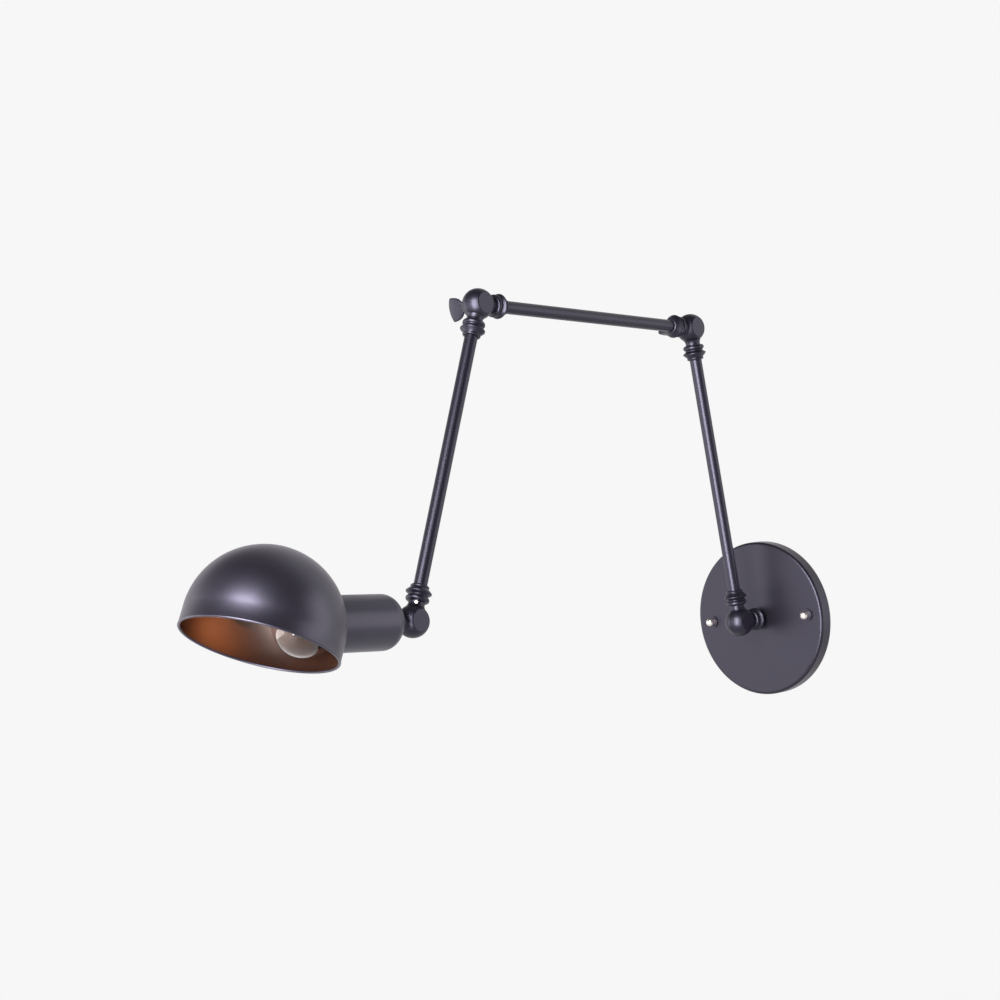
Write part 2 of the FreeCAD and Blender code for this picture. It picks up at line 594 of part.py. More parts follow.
holder = new_body("lampholder", *HEAD)
revolve(holder, "XZ", "V", [
    ("0", "holder_start"),
    ("holder_radius", "holder_start"),
    ("holder_radius", "holder_end"),
    ("holder_bore", "holder_end"),
    ("holder_bore", "holder_floor"),
    ("0", "holder_floor"),
])
extrude(holder, circles(holder, "XY", screw_holes), "2*holder_screw_end", cut=True)
holder_screw = pan_head_screw("fixing_head", "fixing_radius - fit_gap", "holder_screw_end", "holder_start - cup_wall",
                              "holder_start - cup_wall - holder_screw_height")
group("holder_screws", "XZ", [(holder_screw, vector("0", "holder_screw_stand", "0")),
                              (holder_screw, vector("0", "-holder_screw_stand", "0"))], *HEAD)

shell = new_body("screw_shell", *HEAD)
revolve(shell, "XZ", "V", [
    ("shell_hole", "holder_floor"),
    ("shell_outer", "holder_floor"),
    ("shell_outer", "shell_end"),
    ("shell_bore", "shell_end"),
    ("shell_bore", "holder_floor + sheet_thickness"),
    ("shell_hole", "holder_floor + sheet_thickness"),
])

contact = new_body("centre_contact", *HEAD)
extrude(contact, outline(contact, "YZ", [
    ("-contact_half", "holder_floor"),
    ("-contact_knee", "holder_floor"),
    ("-contact_flat", "holder_floor + contact_rise"),
    ("contact_flat", "holder_floor + contact_rise"),
    ("contact_knee", "holder_floor"),
    ("contact_half", "holder_floor"),
    ("contact_half", "holder_floor + sheet_thickness"),
    ("contact_knee + sheet_thickness/2", "holder_floor + sheet_thickness"),
    ("contact_flat + sheet_thickness/2", "holder_floor + contact_rise + sheet_thickness"),
    ("-(contact_flat + sheet_thickness/2)", "holder_floor + contact_rise + sheet_thickness"),
    ("-(contact_knee + sheet_thickness/2)", "holder_floor + sheet_thickness"),
    ("-contact_half", "holder_floor + sheet_thickness"),
]), "contact_width")

# ---- dome ----

# A spun half ball with a short skirt. The cup meets it radially, so their joint is a plain circle.
dome = new_body("shade", DOME_CENTRE, size("dome_lean"))
revolve(dome, "XZ", "V", [
    ("rim_radius", "-dome_skirt"),
    ("dome_radius", "0", "dome_radius"),
    ("0", "dome_radius"),
    ("0", "dome_radius - dome_wall", "-(dome_radius - dome_wall)"),
    ("dome_radius - dome_wall", "0"),
    ("rim_radius - dome_wall", "-dome_skirt"),
])
cup_way = size("head_lean") + 180 - size("dome_lean")
hole_place = FreeCAD.Placement(lean_direction(cup_way) * size("dome_radius/2"),
                               FreeCAD.Rotation(FreeCAD.Vector(1, 0, 0), cup_way))
drilled("shade", dome, "dome_hole", "dome_radius", hole_place)

# ---- bulb ----

glass = new_body("bulb_glass", *HEAD)
foot_height = "globe_stand - sqrt(globe_radius^2 - globe_foot^2)"
inner_scale = "(1 - glass_wall/globe_radius)"
revolve(glass, "XZ", "V", [
    ("glass_neck", "glass_start"),
    ("glass_neck", "neck_top", "-neck_round"),
    ("globe_foot", foot_height, "globe_radius"),
    ("0", "globe_stand + globe_radius"),
    ("0", "globe_stand + globe_radius - glass_wall", "-(globe_radius - glass_wall)"),
    (f"globe_foot*{inner_scale}", f"globe_stand - sqrt(globe_radius^2 - globe_foot^2)*{inner_scale}"),
    ("glass_neck - glass_wall", "neck_top + glass_wall"),
    ("glass_neck - glass_wall", "glass_start"),
])

cap = new_body("bulb_cap", *HEAD)
ridges = []
for index in range(RIDGES):
    height = f"ridge_start + {index}*ridge_pitch"
    ridges.append(("cap_radius", height, "ridge_round"))
    ridges.append(("cap_radius", f"{height} + ridge_width"))
revolve(cap, "XZ", "V", [
    ("cap_foot", "cap_bottom"),
    ("cap_radius", "cap_knee"),
    *ridges,
    ("cap_radius", "cap_shoulder"),
    ("cap_rim_radius", "cap_shoulder + cap_wall"),
    ("cap_rim_radius", "cap_top"),
    ("cap_bore", "cap_top"),
    ("cap_bore", "cap_knee"),
    ("cap_foot - cap_wall", "cap_bottom + cap_wall"),
])

insulator = [
    ("0", "tip_start"),
    ("tip_radius", "tip_start"),
    ("cap_foot", "cap_bottom"),
    ("cap_foot - cap_wall", "cap_bottom + cap_wall"),
    ("0", "cap_bottom + cap_wall"),
]
contact_tip = rectangle("0", "tip_end", "tip_radius", "tip_start")
group("bulb_contact_end", "XZ", [(insulator, FreeCAD.Vector()), (contact_tip, FreeCAD.Vector())], *HEAD)

stem = new_body("bulb_stem", *HEAD)
revolve(stem, "XZ", "V", [
    ("0", "stem_start"),
    ("glass_neck - glass_wall", "stem_start"),
    ("glass_neck - glass_wall", "stem_rim", "-stem_round"),
    ("stem_radius", "stem_knee"),
    ("stem_radius", "stem_end"),
    ("0", "stem_end"),
])


# ---- wires and leads ----

def swept(path, radius):
    """A round wire along a chain of lines and arcs that meet without a corner."""
    wire = Part.Wire(path)
    start = path[0]
    direction = start.tangentAt(start.FirstParameter)
    section = Part.Wire([Part.makeCircle(radius, start.valueAt(start.FirstParameter), direction)])
    return wire.makePipeShell([section], True, True)


def arc(first, middle, last):
    return Part.Arc(first, middle, last).toShape()


def line(first, last):
    return Part.makeLine(first, last)


def polar(radius, angle, x, centre=(0, 0)):
    """A point at this X, at an angle from +Y towards +Z round a centre (y, z)."""
    return FreeCAD.Vector(x, centre[0] + radius * math.cos(angle), centre[1] + radius * math.sin(angle))


def loop(x):
    """The lead's way round a pivot at the origin: a ring in the hollow, then a bend out to the +Z axis."""
    ring_radius, bend = size("loop_radius"), size("loop_bend")
    stand = math.sqrt((ring_radius + bend) ** 2 - bend ** 2)
    meeting = math.atan2(stand, bend)
    turn = math.radians(size("loop_turn"))
    ring_arc = [polar(ring_radius, meeting - turn * share, x) for share in (1, 0.5, 0)]
    centre = (bend, stand)
    bend_arc = [polar(bend, angle, x, centre) for angle in (meeting + math.pi, meeting / 2 + math.pi, math.pi)]
    return [ring_arc, bend_arc]


def kept_shape(label, shape, at=FreeCAD.Vector(), lean=0.0):
    feature = doc.addObject("Part::Feature", "Shaped")
    feature.Shape = shape
    return keep(feature, label, at, lean)


def arm_lead(label, pivot, lean, side):
    """A two-core lead through an arm, with a loop round the pivot at each end."""
    start = loop(side * size("lead_side"))
    reach = size("arm_reach")
    finish = [[FreeCAD.Vector(point.x, point.y, reach - point.z) for point in reversed(points)]
              for points in reversed(start)]
    path = [arc(*points) for points in start]
    path.append(line(start[-1][-1], finish[0][0]))
    path += [arc(*points) for points in finish]
    kept_shape(label, swept(path, size("lead_radius")), pivot, lean)


arm_lead("lower_arm_lead", WALL_PIVOT, size("lower_lean"), FAR)
arm_lead("middle_arm_lead", FIRST_ELBOW, size("middle_lean"), NEAR)
arm_lead("outer_arm_lead", SECOND_ELBOW, size("outer_lean"), FAR)

# The head's lead ends at the lampholder, and the supply lead bends up behind the canopy to the terminal block.
beside = size("lead_side")
head_start = loop(beside)
head_path = [arc(*points) for points in head_start]
head_path.append(line(head_start[-1][-1], FreeCAD.Vector(beside, 0, size("holder_start"))))
kept_shape("head_lead", swept(head_path, size("lead_radius")), *HEAD)

supply_start = loop(beside)
corner = FreeCAD.Vector(beside, 0, size("supply_back"))
block_entry = FreeCAD.Vector(beside, -size("block_bottom - 3*fit_gap"), size("supply_rise"))
away = (block_entry - corner).normalize()
back = FreeCAD.Vector(0, 0, -1)
turned = math.pi - back.getAngle(away)
reach = size("supply_bend") * math.tan(turned / 2)
bisector = (back + away).normalize()
bend_middle = corner + bisector * size("supply_bend") * (1 / math.cos(turned / 2) - 1)
supply_path = [arc(*points) for points in supply_start]
supply_path.append(line(supply_start[-1][-1], corner + back * reach))
supply_path.append(arc(corner + back * reach, bend_middle, corner + away * reach))
supply_path.append(line(corner + away * reach, block_entry))
kept_shape("supply_lead", swept(supply_path, size("lead_radius")), WALL_PIVOT, WALL_SIDE)

# Two support wires stand on the bulb's stem and hold the filament's arch between them.
wires = []
for way in (1, -1):
    foot = FreeCAD.Vector(0, way * size("support_stand"), size("stem_end + 0.6*wire_radius"))
    head = FreeCAD.Vector(0, way * size("support_spread"), size("support_end"))
    wires.append(Part.makeCylinder(size("wire_radius"), (head - foot).Length, foot, head - foot))
arch_foot = size("support_end + 1.3*wire_radius")
spread = size("support_spread")
arch = arc(FreeCAD.Vector(0, spread, arch_foot), FreeCAD.Vector(0, 0, arch_foot + size("filament_rise")),
           FreeCAD.Vector(0, -spread, arch_foot))
wires.append(swept([arch], size("wire_radius")))
kept_shape("bulb_filament", Part.makeCompound(wires), *HEAD)

# ---- test and export ----

doc.recompute()
for item in doc.Objects:
    if "Invalid" in item.State or "Error" in item.State:
        raise RuntimeError(f"{item.Label} failed: {item.State}")
for label, piece in pieces.items():
    if piece.Shape.isNull() or not piece.Shape.isValid() or not piece.Shape.Solids:
        raise RuntimeError(f"{label} has no valid solid")

os.makedirs("parts", exist_ok=True)
for label, piece in pieces.items():
    piece.Shape.exportStep(f"parts/{label}.step")
print(f"{len(pieces)} sub-parts written")
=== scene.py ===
"""Accordion wall lamp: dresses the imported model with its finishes, its soft-edged trim and a plain studio."""

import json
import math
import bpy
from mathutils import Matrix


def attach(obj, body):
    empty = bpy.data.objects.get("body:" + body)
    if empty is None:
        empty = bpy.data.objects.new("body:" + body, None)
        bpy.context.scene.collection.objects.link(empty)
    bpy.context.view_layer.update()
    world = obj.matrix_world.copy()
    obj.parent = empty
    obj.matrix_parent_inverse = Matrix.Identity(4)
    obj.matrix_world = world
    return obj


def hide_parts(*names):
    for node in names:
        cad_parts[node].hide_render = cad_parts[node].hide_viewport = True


bl_info = {
    "name": "Accordion wall lamp",
    "version": (1, 0, 0),
    "blender": (4, 5, 0),
    "location": "View3D > Sidebar > Wall lamp",
    "description": "Finishes, turned trim, shade, bulb and studio for an accordion wall lamp",
    "category": "Object",
}

import bmesh
import bpy
from bpy.props import FloatProperty, FloatVectorProperty, IntProperty, PointerProperty
from mathutils import Matrix, Vector

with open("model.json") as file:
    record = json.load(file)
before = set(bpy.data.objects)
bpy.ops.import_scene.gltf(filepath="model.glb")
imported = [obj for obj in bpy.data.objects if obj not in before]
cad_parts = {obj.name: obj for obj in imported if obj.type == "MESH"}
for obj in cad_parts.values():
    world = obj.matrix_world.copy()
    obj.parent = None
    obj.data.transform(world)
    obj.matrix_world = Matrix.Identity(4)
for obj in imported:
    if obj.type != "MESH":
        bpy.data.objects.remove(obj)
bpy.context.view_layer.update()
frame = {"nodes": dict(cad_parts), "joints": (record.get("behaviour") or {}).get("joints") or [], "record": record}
PIVOT = {joint["name"]: Vector(joint["pos_m"]) for joint in frame["joints"]}
MM = 0.001
ACROSS = Vector((1.0, 0.0, 0.0))


# ---- sizes and colours ----

def length(title, default, note):
    """A length, with its default in millimetres."""
    return FloatProperty(name=title, description=note, default=default * MM, min=0.0, subtype="DISTANCE",
                         unit="LENGTH")


def angle(title, default, note):
    """An angle, with its default in degrees."""
    return FloatProperty(name=title, description=note, default=math.radians(default), subtype="ANGLE")


def share(title, default, note):
    return FloatProperty(name=title, description=note, default=default, min=0.0, max=1.0, subtype="FACTOR")


def colour(title, default, note):
    return FloatVectorProperty(name=title, description=note, default=default, min=0.0, max=1.0, size=3,
                               subtype="COLOR")


def power(title, default, note):
    return FloatProperty(name=title, description=note, default=default, min=0.0, unit="POWER")


class LampFinishes(bpy.types.PropertyGroup):
    arm_paint: colour("Arm paint", (0.0090, 0.0072, 0.0150), "Satin black of the arms and knuckles")
    shade_paint: colour("Shade paint", (0.0085, 0.0066, 0.0125), "Matte black of the shade, cup and canopy")
    arm_gloss: share("Arm roughness", 0.38, "Roughness of the paint on the arms and knuckles")
    shade_gloss: share("Shade roughness", 0.39, "Roughness of the paint on the shade, cup and canopy")
    lining: colour("Lining", (0.088, 0.024, 0.007), "Copper lacquer inside the shade")
    nickel: colour("Nickel", (0.80, 0.73, 0.70), "Plating of the cap nuts and the grub screw")


class ShadeSizes(bpy.types.PropertyGroup):
    reach: length("Reach", 134, "From the head pivot to the centre of the dome's ball")
    radius: length("Radius", 55, "Outside of the dome's ball")
    wall: length("Wall", 1.2, "Thickness of the spun sheet")
    skirt: length("Skirt", 13.5, "From the ball's centre to the rim")
    rim: length("Rim", 55.4, "Outside of the rim")
    bead: length("Bead", 0.95, "Radius of the rolled edge")
    hole: length("Hole", 17.5, "Radius of the hole for the bulb")
    cup_lean: angle("Cup lean", 85.7, "Lean of the cup's axis, from straight up away from the wall")
    dome_lean: angle("Dome lean", -26.2, "Lean of the dome's axis, from straight up away from the wall")


class FilamentSizes(bpy.types.PropertyGroup):
    stand: length("Stand", 107, "From the head pivot to the filament's ends")
    spread: length("Spread", 8, "From the bulb's axis to each end")
    rise: length("Rise", 4, "How far the filament's middle stands out")
    coil: length("Coil", 0.62, "Radius of the coil")
    wire: length("Wire", 0.13, "Radius of the wire")
    turns: IntProperty(name="Turns", description="Turns of the coil", default=42, min=1)


class WingSizes(bpy.types.PropertyGroup):
    thickness: length("Thickness", 2.6, "Thickness of the blade")
    first_lean: angle("First lean", 84, "Lean of the blade at the first elbow")
    second_lean: angle("Second lean", 8, "Lean of the blade at the second elbow")


class StudioSetup(bpy.types.PropertyGroup):
    backdrop: FloatProperty(name="Backdrop", description="Level of the plain background", default=0.93,
                            min=0.0)
    lens: FloatProperty(name="Lens", description="Focal length", default=71.767, subtype="DISTANCE_CAMERA")
    streak: power("Streak", 112.0, "Power of the tall box that the paint mirrors")
    wash: power("Wash", 15.0, "Power of the plain front light")
    side: power("Side", 9.5, "Power of the wide box on the right")
    left: power("Left", 20.0, "Power of the wide box on the left")
    low: power("Low", 260.0, "Power of the beam that warms the lining")
    beam: angle("Beam", 2.7, "Width of that beam")
    floor_drop: length("Floor drop", 600, "How far the floor lies below the canopy's centre")


GROUPS = {"lamp_finishes": LampFinishes, "lamp_shade": ShadeSizes, "lamp_filament": FilamentSizes,
          "lamp_wings": WingSizes, "lamp_studio": StudioSetup}


# ---- shader maths ----

class Field:
    """A value that varies over a surface: an output socket that can be added, scaled and compared."""

    def __init__(self, finish, socket):
        self.finish = finish
        self.socket = socket

    def with_math(self, operation, *values):
        return self.finish.node("ShaderNodeMath", {"operation": operation}, dict(enumerate(values)))

    def __add__(self, other):
        return self.with_math("ADD", self, other)

    def __sub__(self, other):
        return self.with_math("SUBTRACT", self, other)

    def __rsub__(self, other):
        return self.with_math("SUBTRACT", other, self)

    def __mul__(self, other):
        return self.with_math("MULTIPLY", self, other)

    __radd__ = __add__
    __rmul__ = __mul__

    def larger(self, other):
        return self.with_math("MAXIMUM", self, other)

    def between(self, low, high):
        """0 below low, 1 above high, and a smooth step from one to the other."""
        return self.finish.node("ShaderNodeMapRange", {"interpolation_type": "SMOOTHSTEP"},
                                {"Value": self, "From Min": low, "From Max": high})


class Finish:
    """The nodes of one material, or of the world, under construction."""

    def __init__(self, owner):
        owner.use_nodes = True
        self.owner = owner
        self.tree = owner.node_tree
        self.tree.nodes.clear()

    def node(self, kind, settings=None, inputs=None, output=0):
        """Adds a node: its settings first, then the values or links of its sockets."""
        made = self.tree.nodes.new(kind)
        for key, value in (settings or {}).items():
            setattr(made, key, value)
        for key, value in (inputs or {}).items():
            if isinstance(value, Field):
                self.tree.links.new(value.socket, made.inputs[key])
            else:
                made.inputs[key].default_value = value
        return Field(self, made.outputs[output]) if made.outputs else None

    def place(self):
        return self.node("ShaderNodeTexCoord", output="Object")

    def vector_math(self, operation, first, second, output=0):
        return self.node("ShaderNodeVectorMath", {"operation": operation}, {0: first, 1: second}, output)

    def noise(self, scale, detail=2.0, roughness=0.5, stretch=None):
        vector = self.place()
        if stretch:
            vector = self.vector_math("MULTIPLY", vector, stretch)
        return self.node("ShaderNodeTexNoise", None,
                         {"Vector": vector, "Scale": scale, "Detail": detail, "Roughness": roughness})

    def distance_from(self, point):
        return self.vector_math("DISTANCE", self.place(), point, "Value")

    def mixed(self, low, high, factor):
        """A colour that goes from low to high."""
        sockets = {0: factor, 6: low if isinstance(low, Field) else (*low, 1.0), 7: (*high, 1.0)}
        return self.node("ShaderNodeMix", {"data_type": "RGBA"}, sockets, 2)

    def bump(self, height, strength, depth):
        return self.node("ShaderNodeBump", None, {"Height": height, "Strength": strength, "Distance": depth})

    def seen_directly(self):
        """1 for what the camera sees, also in a mirror or through glass, and 0 for what only lights."""
        straight = self.node("ShaderNodeLightPath", output="Is Camera Ray")
        mirrored = self.node("ShaderNodeLightPath", output="Is Glossy Ray")
        through = self.node("ShaderNodeLightPath", output="Is Transmission Ray")
        return (straight + mirrored + through).between(0.0, 1.0)

    def done(self, **sockets):
        """Ends the material in one Principled shader."""
        inputs = {key.replace("_", " "): value for key, value in sockets.items()}
        for key in ("Specular Tint", "Sheen Tint"):
            if key in inputs:
                inputs[key] = (*inputs[key], 1.0)
        return self.end("ShaderNodeOutputMaterial", self.node("ShaderNodeBsdfPrincipled", None, inputs))

    def end(self, kind, surface):
        self.node(kind, None, {"Surface": surface})
        return self.owner


def new_finish(name):
    return Finish(bpy.data.materials.new(name))


def scaled(tone, factor):
    return tuple(channel * factor for channel in tone)


# ---- finishes ----

DUST = (0.05, 0.045, 0.055)
LILAC_GLOSS = (0.80, 0.755, 1.0)
LILAC_BLOOM = (0.90, 0.76, 0.92)
GLAZE_PITS = (0.30, 0.24, 0.18)
GLASS, SMOKED_GLASS = (0.97, 0.94, 0.93), (0.89, 0.83, 0.81)
ARM_COAT = {"grain": 1.0, "bloom": 0.05, "index": 1.46}
SHADE_COAT = {"grain": 1.6, "bloom": 0.20, "index": 1.66}
CANOPY_COAT = {"grain": 1.6, "bloom": 0.20, "index": 1.44}


def powder_coat(name, tone, roughness, grain, bloom, index):
    """Black paint: a fine orange-peel skin, faint cloudiness, a little dust on what faces up, and a lilac
    bloom where it is seen edge on."""
    finish = new_finish(name)
    cloud = finish.noise(scale=22.0, detail=3.0)
    peel = finish.noise(scale=900.0)
    normal = finish.node("ShaderNodeNewGeometry", output="Normal")
    up = finish.node("ShaderNodeSeparateXYZ", None, {0: normal}, "Z")
    dust = (up.between(0.3, 1.0) * cloud.between(0.35, 0.75)) * 0.10
    ground = finish.mixed(scaled(tone, 0.85), scaled(tone, 1.25), cloud)
    ground = finish.mixed(ground, DUST, dust)
    rough = roughness + (cloud - 0.5) * 0.06 + dust * 0.5
    skin = finish.bump(peel, strength=0.03, depth=0.01 * MM * grain)
    return finish.done(Base_Color=ground, Roughness=rough, IOR=index, Specular_Tint=LILAC_GLOSS,
                       Sheen_Weight=bloom, Sheen_Roughness=0.4, Sheen_Tint=LILAC_BLOOM, Normal=skin)


def copper_lacquer(name, tone, paint):
    """The shade's lining: thin copper lacquer over black that lets the black through in soft clouds."""
    finish = new_finish(name)
    cloud = finish.noise(scale=30.0, detail=3.0)
    spinning = finish.noise(scale=300.0, stretch=(1.0, 1.0, 6.0))
    ground = finish.mixed(scaled(tone, 0.72), tone, cloud)
    ground = finish.mixed(ground, scaled(paint, 3.0), spinning.between(0.55, 0.8) * 0.3)
    return finish.done(Base_Color=ground, Metallic=cloud * 0.25, Roughness=0.36 + cloud * 0.12,
                       Normal=finish.bump(spinning, strength=0.1, depth=0.04 * MM))


def plated(name, tone, roughness, scratch):
    """Bright metal with faint polishing lines and a little uneven tarnish."""
    finish = new_finish(name)
    lines = finish.noise(scale=420.0, detail=3.0, roughness=0.6, stretch=(1.0, 9.0, 1.0))
    stain = finish.noise(scale=60.0, detail=3.0)
    ground = finish.mixed(scaled(tone, 0.78), tone, stain.between(0.30, 0.62))
    rough = roughness + lines * scratch + (1 - stain.between(0.3, 0.7)) * 0.10
    return finish.done(Base_Color=ground, Metallic=1.0, Roughness=rough,
                       Normal=finish.bump(lines, strength=0.08, depth=0.04 * MM))


def moulded(name, tone, roughness, blotch=0.2):
    """A moulded or drawn plain skin, such as plastic, fibre or sheath."""
    finish = new_finish(name)
    cloud = finish.noise(scale=180.0, detail=3.0)
    grain = finish.noise(scale=2600.0)
    ground = finish.mixed(scaled(tone, 1.0 - blotch), tone, cloud)
    return finish.done(Base_Color=ground, Roughness=roughness + (cloud - 0.5) * 0.12,
                       Normal=finish.bump(grain, strength=0.15, depth=0.05 * MM))


def glazed(name, tone):
    """White porcelain under a clear glaze with a few brown pits."""
    finish = new_finish(name)
    cloud = finish.noise(scale=35.0)
    pits = finish.noise(scale=700.0, detail=1.0).between(0.74, 0.84)
    ground = finish.mixed(scaled(tone, 0.93), tone, cloud)
    ground = finish.mixed(ground, GLAZE_PITS, pits * 0.4)
    return finish.done(Base_Color=ground, Roughness=0.16 + cloud * 0.08, Coat_Weight=0.5, Coat_Roughness=0.06,
                       Normal=finish.bump(pits, strength=0.2, depth=0.1 * MM))


def clear_glass(name):
    """Thin clear glass with a trace of smoke."""
    finish = new_finish(name)
    smoke = finish.noise(scale=60.0)
    return finish.done(Base_Color=finish.mixed(GLASS, SMOKED_GLASS, smoke), Roughness=smoke * 0.03,
                       Transmission_Weight=1.0, IOR=1.47)


# ---- mesh making ----

ON_AXIS = 1e-7


def lean_matrix(pivot, direction):
    """Stands +Z along a direction in the lamp's plane, at a pivot, with X left alone."""
    turn = Matrix((ACROSS, direction.cross(ACROSS), direction)).transposed()
    return Matrix.Translation(pivot) @ turn.to_4x4()


def lean_direction(lean):
    return Vector((0.0, -math.sin(lean), math.cos(lean)))


def arc(first, last, radius, centre_side, steps=10):
    """Points along an arc between two points, with its centre towards the given point."""
    first, last = Vector(first), Vector(last)
    chord = last - first
    middle = (first + last) / 2
    square = Vector((-chord.y, chord.x)).normalized()
    if square.dot(Vector(centre_side) - middle) < 0:
        square = -square
    centre = middle + square * math.sqrt(radius ** 2 - chord.length_squared / 4)
    start, end = first - centre, last - centre
    sweep = start.angle(end) * (1 if start.cross(end) > 0 else -1)
    return [centre + Matrix.Rotation(sweep * step / steps, 2) @ start for step in range(steps + 1)]


def softened(points, cuts):
    """Rounds the corners of an outline as thick paint does, by cutting each corner once for every cut."""
    for cut in cuts:
        soft = [points[0]]
        for before, here, after in zip(points, points[1:], points[2:]):
            for other in (before, after):
                away = other - here
                soft.append(here + away.normalized() * min(cut, away.length / 3))
        points = soft + [points[-1]]
    return points


def new_piece(name, vertices, faces, material, node=None, body=None):
    """Makes a smooth mesh that may ride on a body and stand for a node of the model."""
    mesh = bpy.data.meshes.new(name)
    mesh.from_pydata(vertices, [], faces)
    form = bmesh.new()
    form.from_mesh(mesh)
    bmesh.ops.recalc_face_normals(form, faces=form.faces)
    form.to_mesh(mesh)
    form.free()
    mesh.shade_smooth()
    mesh.materials.append(material)
    piece = bpy.data.objects.new(name, mesh)
    bpy.context.scene.collection.objects.link(piece)
    if body:
        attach(piece, body)
    if node:
        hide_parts(node)
    return piece


def spun(profile, segments, closed=True):
    """Vertices and faces of a profile of (radius, height) turned about Z; points on the axis are shared."""
    vertices, rings, faces = [], [], []
    for radius, height in profile:
        if abs(radius) < ON_AXIS:
            rings.append([len(vertices)] * segments)
            vertices.append(Vector((0.0, 0.0, height)))
        else:
            rings.append(list(range(len(vertices), len(vertices) + segments)))
            turns = [2 * math.pi * k / segments for k in range(segments)]
            vertices += [Vector((radius * math.cos(turn), radius * math.sin(turn), height)) for turn in turns]
    after = rings[1:] + rings[:1] if closed else rings[1:]
    for low, high in zip(rings, after):
        for k in range(segments):
            corners = [low[k], low[(k + 1) % segments], high[(k + 1) % segments], high[k]]
            face = list(dict.fromkeys(corners))
            if len(face) > 2:
                faces.append(face)
    return vertices, faces


def moved(vertices, matrix):
    return [matrix @ vertex for vertex in vertices]


def paint_node(name, material):
    """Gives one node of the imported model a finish."""
    for slot in frame["nodes"][name].material_slots:
        slot.material = material


class LampOperator(bpy.types.Operator):
    """A step in dressing the lamp."""
    bl_options = {"REGISTER", "UNDO"}


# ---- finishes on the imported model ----

class LAMP_OT_finishes(LampOperator):
    """Paints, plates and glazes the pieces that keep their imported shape"""
    bl_idname = "lamp.finishes"
    bl_label = "Finishes"

    def execute(self, context):
        tones = context.scene.lamp_finishes
        matte = powder_coat("matte_black", tones.shade_paint, tones.shade_gloss, **SHADE_COAT)
        thin = powder_coat("canopy_black", tones.shade_paint, tones.shade_gloss, **CANOPY_COAT)
        by_slot = {
            "black_paint": powder_coat("satin_black", tones.arm_paint, tones.arm_gloss, **ARM_COAT),
            "zinc_steel": plated("zinc_plate", (0.52, 0.53, 0.52), 0.34, 0.10),
            "nickel": plated("nickel_plate", tones.nickel, 0.24, 0.06),
            "brass": plated("turned_brass", (0.76, 0.55, 0.24), 0.24, 0.10),
            "black_plastic": moulded("black_moulding", (0.030, 0.030, 0.032), 0.45),
            "friction_fibre": moulded("red_fibre", (0.22, 0.075, 0.04), 0.75, 0.35),
            "lead_sheath": moulded("white_sheath", (0.70, 0.69, 0.66), 0.42, 0.06),
            "porcelain": glazed("glazed_porcelain", (0.80, 0.79, 0.75)),
            "clear_glass": clear_glass("stem_glass"),
            "cap_metal": plated("bulb_cap_metal", (0.66, 0.64, 0.60), 0.26, 0.10),
            "tungsten": plated("tungsten_wire", (0.30, 0.27, 0.25), 0.42, 0.10),
        }
        for entry in frame["record"]["subparts"]:
            paint_node(entry["node"], by_slot[entry["material_slot"]])
        paint_node("lampholder_cup", matte)
        paint_node("canopy", thin)
        return {"FINISHED"}


# ---- turned trim ----

# The collar's outline in millimetres, as its radius and its stand from the pivot: a round bead, a groove, a
# sharper crest that tapers away, and a small lip.
COLLAR_BORE = 5.05
COLLAR_START = (6.0, 14.2)
BEAD_START, BEAD_END, BEAD_ROUND = (6.9, 14.4), (7.2, 18.5), 2.1
GROOVE_END = (7.2, 19.4)
CREST_START, CREST_END, CREST_ROUND = (9.3, 20.9), (9.3, 22.1), 0.8
LIP = ((6.4, 25.0), (6.9, 25.3), (6.9, 26.3), (6.0, 27.0))
COLLAR_MIDDLE = (0.0, 20.0)
COLLAR_CUTS = (0.5, 0.2)
COLLAR_STEPS = 72


def collar_profile():
    bead = arc(BEAD_START, BEAD_END, BEAD_ROUND, COLLAR_MIDDLE)
    crest = arc(CREST_START, CREST_END, CREST_ROUND, COLLAR_MIDDLE)
    foot = [Vector((COLLAR_BORE, COLLAR_START[1])), Vector(COLLAR_START)]
    end = [*map(Vector, LIP), Vector((COLLAR_BORE, LIP[-1][1]))]
    return [*foot, *bead, Vector(GROOVE_END), *crest, *end]


class LAMP_OT_collars(LampOperator):
    """Turns the seven bead collars with paint-softened edges"""
    bl_idname = "lamp.collars"
    bl_label = "Collars"

    def execute(self, context):
        paint = bpy.data.materials["satin_black"]
        profile = [point * MM for point in softened(collar_profile(), COLLAR_CUTS)]
        wall, first = PIVOT["wall_knuckle"], PIVOT["first_elbow"]
        second, head = PIVOT["second_elbow"], PIVOT["head_knuckle"]
        places = (("stub_collar", "wall_base", wall, wall + Vector((0.0, 1.0, 0.0))),
                  ("lower_arm_inner_collar", "lower_arm", wall, first),
                  ("lower_arm_outer_collar", "lower_arm", first, wall),
                  ("middle_arm_inner_collar", "middle_arm", first, second),
                  ("middle_arm_outer_collar", "middle_arm", second, first),
                  ("outer_arm_inner_collar", "outer_arm", second, head),
                  ("outer_arm_outer_collar", "outer_arm", head, second))
        for node, body, pivot, towards in places:
            matrix = lean_matrix(pivot, (towards - pivot).normalized())
            vertices, faces = spun(profile, COLLAR_STEPS)
            piece = new_piece("turned_" + node, moved(vertices, matrix), faces, paint, node, body)
        return {"FINISHED"}


